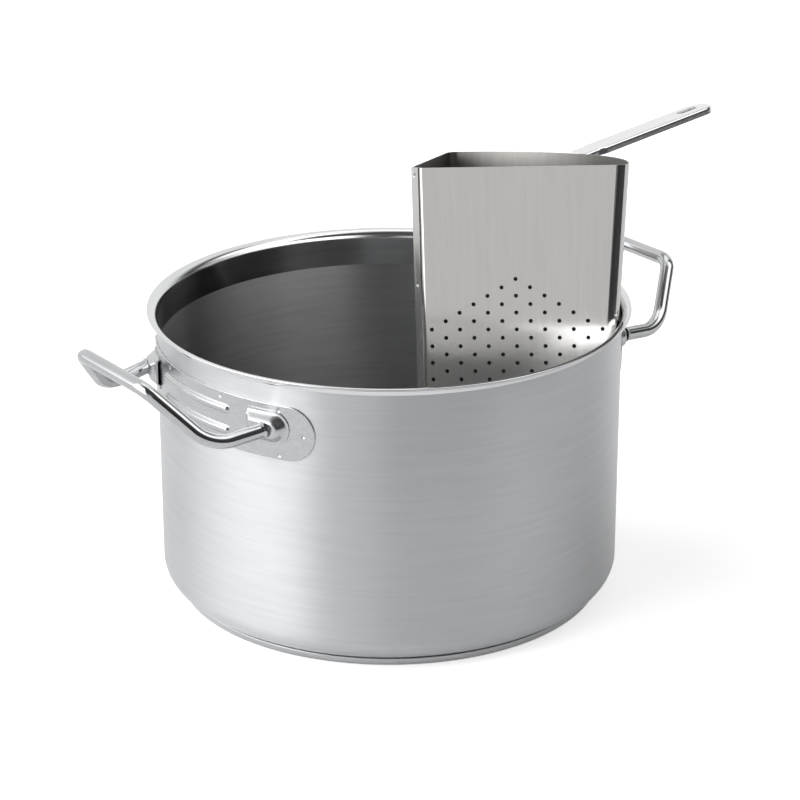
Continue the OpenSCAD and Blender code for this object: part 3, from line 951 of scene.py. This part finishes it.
@dataclass
class StrainerInsert:
    """The perforated insert: sheets, seam, handle with its foot, and rim hook."""

    hang: Hanging = field(default_factory=Hanging)
    length: float = 150.0
    width: float = 26.0
    depth: float = 6.0
    sheet: float = 1.5
    rise: float = 12.4
    turn: float = 3.9
    cut: float = 22.0
    cut_depth: float = 1.65
    cut_slope: float = 4.0
    slot_length: float = 20.0
    slot_width: float = 8.0
    shoulder: float = 2.2
    foot_t: float = 1.54
    root_run: float = 0.2

    def grip_rows(self) -> tuple[Array, Array, Array]:
        """Rows round the handle's outline, from one side of its root past the tip to the other.

        Returns:
            The middle point along the handle, the outward direction's two parts, and the
            distance from the middle line at which the metal begins: the slot's half width.
        """
        tip = self.length - self.width / 2.0
        slot_start = tip - self.slot_length
        near_wall = self.cut + self.cut_slope / 2.0
        c = np.cos(np.linspace(np.pi, 0.0, 34))
        run = np.concatenate([
            np.linspace(0.0, near_wall, 9)[:-1],
            np.linspace(near_wall, slot_start, 14)[:-1],
            slot_start + (c + 1.0) / 2.0 * self.slot_length,
        ])
        r = self.slot_width / 2.0
        near, far = run - (slot_start + r), run - (tip - r)
        past = np.where(near < 0.0, near, np.where(far > 0.0, far, 0.0))
        inside = (run >= slot_start) & (run <= tip)
        inner = np.where(inside, np.sqrt(np.maximum(r * r - past * past, 0.0)), 0.0)
        a = np.radians(np.linspace(-90.0, 90.0, 41))[1:-1]
        foot = np.concatenate([run, np.full(a.size, tip), run[::-1]])
        out_u = np.concatenate([np.zeros(run.size), np.cos(a), np.zeros(run.size)])
        out_v = np.concatenate([-np.ones(run.size), np.sin(a), np.ones(run.size)])
        start = np.concatenate([inner, np.zeros(a.size), inner[::-1]])
        return foot, np.stack([out_u, out_v], axis=-1), start

    def channel(self) -> bpy.types.Object:
        """The handle: a channel with rounded shoulders, a round tip and a hanging slot.

        Each row crosses the metal once: out over the top from the slot or the middle line,
        down the shoulder as a quarter round and the side as a straight run, and back up
        inside at the sheet's thickness.

        Returns:
            The piece.
        """
        foot, outward, start = self.grip_rows()
        half, t, r = self.width / 2.0, self.sheet, self.shoulder
        a = np.linspace(0.0, np.pi / 2.0, 7)
        share = np.linspace(0.0, 1.0, 6)[None]
        narrow = self.cut_depth * ease((self.cut - foot[:, None]) / self.cut_slope)

        def section(full: float, radius: float, top: float) -> tuple[Array, Array]:
            """One skin of the metal: top, shoulder as a quarter round, and side.

            Args:
                full: Half the width over the sides.
                radius: Radius of the shoulder.
                top: Height of the top.

            Returns:
                Distance from the middle line and height at each place.
            """
            reach = full - narrow
            flat = start[:, None] + (reach - radius - start[:, None]) * share
            bend = reach - radius + radius * np.sin(a[1:])
            side = np.repeat(reach, 3, axis=1)
            w = np.concatenate([
                np.full(share.size, top),
                top - radius + radius * np.cos(a[1:]),
                np.linspace(top - radius, -self.depth, 4)[1:],
            ])
            return np.hstack([flat, bend, side]), np.broadcast_to(w, (foot.size, w.size))

        b_out, w_out = section(half, r, 0.0)
        b_in, w_in = section(half - t, r - t, -t)
        b = np.hstack([b_out, b_in[:, ::-1]])
        w = np.hstack([w_out, w_in[:, ::-1]]).copy()
        u = foot[:, None] + outward[:, :1] * b
        v = outward[:, 1:] * b
        g, k = math.radians(self.rise), math.tan(math.radians(self.hang.draft))
        root = w * (math.sin(g) + k * math.cos(g)) + self.foot_t - v * v / (2.0 * self.hang.top_r)
        root = root / (math.cos(g) - k * math.sin(g))
        near = (np.arange(foot.size) == 0) | (np.arange(foot.size) == foot.size - 1)
        u = np.where(near[:, None], root, np.maximum(u, root + self.root_run))
        middle = math.radians(45.0 + self.turn)
        cx, cy = math.cos(middle), math.sin(middle)
        u_axis = np.array([math.cos(g) * cx, math.cos(g) * cy, math.sin(g)])
        w_axis = np.array([-math.sin(g) * cx, -math.sin(g) * cy, math.cos(g)])
        v_axis = np.array([-cy, cx, 0.0])
        local = (
            np.array([self.hang.top_r * cx, self.hang.top_r * cy, 0.0])
            + u[..., None] * u_axis
            + v[..., None] * v_axis
            + w[..., None] * w_axis
        )
        points = self.hang.place(local)
        columns = b.shape[1]
        keep = np.ones((foot.size - 1, columns), bool)
        keep[:, -1] = (start[:-1] > 0.0) | (start[1:] > 0.0)
        n = columns // 2
        caps = [Patch(np.stack([points[i, :n], points[i, :n - 1:-1]])) for i in (0, -1)]
        body = Patch(points, round_columns=True, keep=keep)
        return make_piece("strainer_handle_dressed", [body, *caps], [GRIP.material()], crease=35.0)

    def line(self, piece: bpy.types.Object, finish: bpy.types.Material) -> None:
        """Gives a piece's faces that look into the strainer a finish of their own, much darker:
        painted shade inside the strainer.

        Args:
            piece: The piece, with one finish so far.
            finish: The finish of its inside, whose dark colour is painted shade.
        """
        count = len(piece.data.polygons)
        centres, normals = np.empty(count * 3), np.empty(count * 3)
        piece.data.polygons.foreach_get("center", centres)
        piece.data.polygons.foreach_get("normal", normals)
        inside = self.hang.faces_in(centres.reshape(-1, 3) / MM, normals.reshape(-1, 3))
        piece.data.materials.append(finish)
        piece.data.polygons.foreach_set("material_index", inside.astype(np.int32))

    def build(self) -> None:
        """Makes the handle and joined copies of the sheets."""
        sheet, strip = SHEET.material(), STRIP.material()
        wall = joined_copy("strainer_wall_dressed", "strainer_wall", sheet)
        # The faces that look in get a much darker colour: painted shade inside the strainer.
        self.line(wall, INNER_PAINTED_SHADE.material())
        place(wall, "strainer", "satin_stainless", "strainer_wall")
        for node, finish in (
            ("strainer_floor", sheet),
            ("strainer_seam_strip", strip),
            ("strainer_handle_foot", strip),
            ("drain_hook", strip),
        ):
            copy = joined_copy(f"{node}_dressed", node, finish)
            place(copy, "strainer", "satin_stainless", node)
        place(self.channel(), "strainer", "bright_stainless", "strainer_handle")


# The studio


@dataclass(frozen=True)
class Lamp:
    """A soft area lamp, placed as the camera sees it: across, away and up, in metres."""

    name: str
    at: tuple[float, float, float]
    size: tuple[float, float]
    radiance: float
    aim: tuple[float, float, float] = (0.0, 0.0, 0.13)

    def build(self, turn: Array) -> None:
        """Adds the lamp. Its power is its radiance times pi times its area.

        Args:
            turn: Rotation from the camera's level frame to the model's.
        """
        data = bpy.data.lights.new(self.name, "AREA")
        data.shape, data.size, data.size_y = "RECTANGLE", *self.size
        data.energy = self.radiance * math.pi * self.size[0] * self.size[1]
        lamp = bpy.data.objects.new(self.name, data)
        bpy.context.scene.collection.objects.link(lamp)
        at, aim = turn @ np.array(self.at), turn @ np.array(self.aim)
        lamp.location = at
        lamp.rotation_euler = Vector((aim - at).tolist()).to_track_quat("-Z", "Y").to_euler()
        lamp.visible_camera = False


@dataclass(frozen=True)
class Panel:
    """A soft bright stretch of the room, by direction.

    Its bearing is in degrees from the camera's side, left negative, and its foot and top are
    the upward parts of the directions between which it shows.
    """

    bearing: float
    half: float
    foot: float
    top: float
    strength: float
    edge: float = 9.0
    rise: float = 0.12

    def shine(
        self,
        tree: bpy.types.NodeTree,
        level: bpy.types.NodeSocket,
        up: bpy.types.NodeSocket,
        turn: Array,
    ) -> bpy.types.NodeSocket:
        """Strength of the panel in each direction: a step by bearing times two steps by height.

        Args:
            tree: The world's node tree.
            level: Level direction of length one.
            up: Upward part of the direction.
            turn: Rotation from the camera's level frame to the model's.

        Returns:
            The output that carries the strength.
        """
        b = math.radians(self.bearing)
        middle = turn @ np.array([math.sin(b), -math.cos(b), 0.0])
        pair = {0: level, 1: tuple(middle)}
        near = add(tree, "ShaderNodeVectorMath", pair, operation="DOT_PRODUCT").outputs["Value"]
        far, close = (math.cos(math.radians(self.half + k * self.edge)) for k in (1.0, -1.0))
        side = self.step(tree, near, (far, close), (0.0, self.strength))
        low = self.step(tree, up, (self.foot - self.rise, self.foot + self.rise), (0.0, 1.0))
        high = self.step(tree, up, (self.top - self.rise, self.top + self.rise), (1.0, 0.0))
        both = add(tree, "ShaderNodeMath", {0: low, 1: high}, operation="MULTIPLY").outputs[0]
        return add(tree, "ShaderNodeMath", {0: side, 1: both}, operation="MULTIPLY").outputs[0]

    @staticmethod
    def step(
        tree: bpy.types.NodeTree,
        value: bpy.types.NodeSocket,
        between: tuple[float, float],
        levels: tuple[float, float],
    ) -> bpy.types.NodeSocket:
        """Smooth step from one level to another.

        Args:
            tree: The world's node tree.
            value: What the step follows.
            between: Where it begins and ends.
            levels: The level before it and after it.

        Returns:
            The output that carries the level.
        """
        inputs = {0: value, 1: between[0], 2: between[1], 3: levels[0], 4: levels[1]}
        return add(
            tree, "ShaderNodeMapRange", inputs, interpolation_type="SMOOTHSTEP"
        ).outputs[0]


@dataclass(frozen=True)
class Flag:
    """A dark upright card, which only reflections see, to darken a bend of the strainer.

    Its edges are bearings in degrees from the camera's side, left negative, its foot and top
    are heights in metres, and it stands at an equal distance in metres from the axis.
    """

    name: str
    first: float
    last: float
    foot: float
    top: float
    away: float = 1.1


@dataclass
class Studio:
    """Camera, floor, lamps and world."""

    camera_az: float = 36.0
    pitch: float = 0.376
    distance: float = 2.0
    height: float = 0.937064
    shift: float = 0.008374
    lens: float = 123.31
    room: float = 0.08
    floor_lift: float = 0.56
    floor_lift_in_metal: float = 0.08
    floor_half: float = 6.0
    flags: tuple[Flag, ...] = (Flag("flag_right", -2.0, 80.0, 0.1, 0.62),)
    backdrop: Panel = Panel(-168.0, 60.0, -1.2, 1.2, 1.0, 12.0)
    lamps: tuple[Lamp, ...] = (
        Lamp("softbox_left", (-1.5, -0.7, 0.75), (1.2, 0.9), 1.6),
        Lamp("softbox_top", (0.1, 0.35, 1.9), (1.4, 1.2), 0.6),
    )
    panels: tuple[Panel, ...] = (
        Panel(-86.0, 49.0, -0.06, 0.85, 2.8, 7.0),
        Panel(-19.0, 13.0, -0.1, 0.35, 0.72, 6.0),
        Panel(84.0, 22.0, 0.45, 1.0, 2.0, 10.0),
    )

    @property
    def turn(self) -> Array:
        """Rotation about Z from the camera's level frame to the model's.

        Returns:
            The rotation as an array of three by three.
        """
        a = math.radians(-self.camera_az)
        c, s = math.cos(a), math.sin(a)
        return np.array([[c, -s, 0.0], [s, c, 0.0], [0.0, 0.0, 1.0]])

    def camera(self) -> None:
        """Adds the camera at the photograph's view."""
        data = bpy.data.cameras.new("camera")
        data.lens, data.sensor_width = self.lens, 36.0
        camera = bpy.data.objects.new("camera", data)
        bpy.context.scene.collection.objects.link(camera)
        camera.location = self.turn @ np.array([self.shift, -self.distance, self.height])
        camera.rotation_euler = (math.pi / 2.0 - self.pitch, 0.0, math.radians(-self.camera_az))
        bpy.context.scene.camera = camera

    @staticmethod
    def matt(
        name: str, tones: tuple[str, str], grain: float
    ) -> tuple[bpy.types.Material, bpy.types.NodeTree, bpy.types.NodeSocket]:
        """A matt material whose colour wanders between two tones.

        Args:
            name: The material's name.
            tones: Its two colours.
            grain: Scale of the noise between them.

        Returns:
            The material, its node tree and its shader, not yet joined to an output.
        """
        made, tree = new_material(name)
        place_at = add(tree, "ShaderNodeTexCoord").outputs["Object"]
        inputs = {"Vector": place_at, "Scale": grain, "Detail": 2.0}
        share = add(tree, "ShaderNodeTexNoise", inputs).outputs[0]
        mixed = {0: share, 6: linear(tones[0]), 7: linear(tones[1])}
        tone = add(tree, "ShaderNodeMix", mixed, data_type="RGBA").outputs[2]
        return made, tree, add(tree, "ShaderNodeBsdfDiffuse", {"Color": tone}).outputs[0]

    @staticmethod
    def staged(name: str, points: Array, finish: bpy.types.Material) -> bpy.types.Object:
        """Adds a sheet that isn't part of the object.

        Args:
            name: Its name.
            points: A grid of its points in metres.
            finish: Its material.

        Returns:
            The linked object.
        """
        mesh = bpy.data.meshes.new(name)
        mesh.from_pydata(points.reshape(-1, 3), [], Patch(points).cells(0)[0])
        mesh.materials.append(finish)
        sheet = bpy.data.objects.new(name, mesh)
        bpy.context.scene.collection.objects.link(sheet)
        return sheet

    def floor(self) -> None:
        """Adds a pale floor, lifted to white for the camera and a little for metal and glass."""
        made, tree, paper = self.matt("paper_backdrop_matt_white", ("#EFEFEF", "#F4F4F4"), 900.0)
        path = add(tree, "ShaderNodeLightPath")
        metal = {0: metal_rays(tree, path), 1: self.floor_lift_in_metal}
        dimmed = add(tree, "ShaderNodeMath", metal, operation="MULTIPLY").outputs[0]
        both = {0: path.outputs["Is Camera Ray"], 1: self.floor_lift, 2: dimmed}
        lift = add(tree, "ShaderNodeMath", both, operation="MULTIPLY_ADD").outputs[0]
        glow = add(tree, "ShaderNodeEmission", {"Strength": lift}).outputs[0]
        lifted = add(tree, "ShaderNodeAddShader", {0: paper, 1: glow}).outputs[0]
        add(tree, "ShaderNodeOutputMaterial", {0: lifted})
        span = np.linspace(-self.floor_half, self.floor_half, 3)
        x, y = np.meshgrid(span, span, indexing="ij")
        self.staged("floor", np.stack([x, y, np.zeros_like(x)], axis=-1), made)

    def card(self, flag: Flag) -> None:
        """Adds a flag: its point at bearing b and height z is (away sin b, -away cos b, z).

        Args:
            flag: Its bearings, heights and distance.
        """
        tones = ("#3C3C3E", "#464648")
        made, tree, cloth = self.matt(f"{flag.name}_matt_dark_cloth", tones, 700.0)
        add(tree, "ShaderNodeOutputMaterial", {0: cloth})
        b = np.radians(np.linspace(flag.first, flag.last, 25))[:, None]
        z = np.array([[flag.foot, flag.top]])
        x, y = flag.away * np.sin(b) + 0.0 * z, -flag.away * np.cos(b) + 0.0 * z
        points = np.stack([x, y, z + 0.0 * b], axis=-1) @ self.turn.T
        card = self.staged(flag.name, points, made)
        card.visible_camera = card.visible_diffuse = card.visible_shadow = False

    def world(self) -> None:
        """Adds the room: a dim studio with bright panels, and a white background.

        The camera sees white all round. Metal and glass see it where the backdrop stands.
        """
        world = bpy.data.worlds.new("studio")
        bpy.context.scene.world = world
        world.use_nodes = True
        tree = world.node_tree
        tree.nodes.clear()
        way = add(tree, "ShaderNodeTexCoord").outputs["Generated"]
        xyz = add(tree, "ShaderNodeSeparateXYZ", {0: way}).outputs
        flat = add(tree, "ShaderNodeCombineXYZ", {0: xyz[0], 1: xyz[1]}).outputs[0]
        level = add(tree, "ShaderNodeVectorMath", {0: flat}, operation="NORMALIZE").outputs[0]
        total: bpy.types.NodeSocket | float = self.room
        for panel in self.panels:
            shine = panel.shine(tree, level, xyz[2], self.turn)
            total = add(tree, "ShaderNodeMath", {0: total, 1: shine}, operation="ADD").outputs[0]
        dim = {"Color": linear("#FBFBFC"), "Strength": total}
        white = {"Color": (1.0, 1.0, 1.0, 1.0), "Strength": 1.0}
        lit = add(tree, "ShaderNodeBackground", dim).outputs[0]
        seen = add(tree, "ShaderNodeBackground", white).outputs[0]
        path = add(tree, "ShaderNodeLightPath")
        behind = self.backdrop.shine(tree, level, xyz[2], self.turn)
        rays = {0: metal_rays(tree, path), 1: behind, 2: path.outputs["Is Camera Ray"]}
        shows = add(tree, "ShaderNodeMath", rays, operation="MULTIPLY_ADD", use_clamp=True)
        both = add(tree, "ShaderNodeMixShader", {0: shows.outputs[0], 1: lit, 2: seen})
        add(tree, "ShaderNodeOutputWorld", {0: both.outputs[0]})

    def build(self) -> None:
        """Sets the view and adds everything that isn't part of the object."""
        bpy.context.scene.view_settings.view_transform = "Standard"
        self.camera()
        self.floor()
        for flag in self.flags:
            self.card(flag)
        for lamp in self.lamps:
            lamp.build(self.turn)
        self.world()


def main() -> None:
    """Builds the pot, its handles, the strainer and the studio, in that order."""
    logging.basicConfig(level=logging.INFO, format="%(name)s %(message)s")
    Pot().build()
    plate, tube = PLATE.material(), TUBE.material()
    for side in Side:
        SideHandle(side, plate, tube).build()
    StrainerInsert().build()
    Studio().build()


if __name__ == "__main__":
    main()
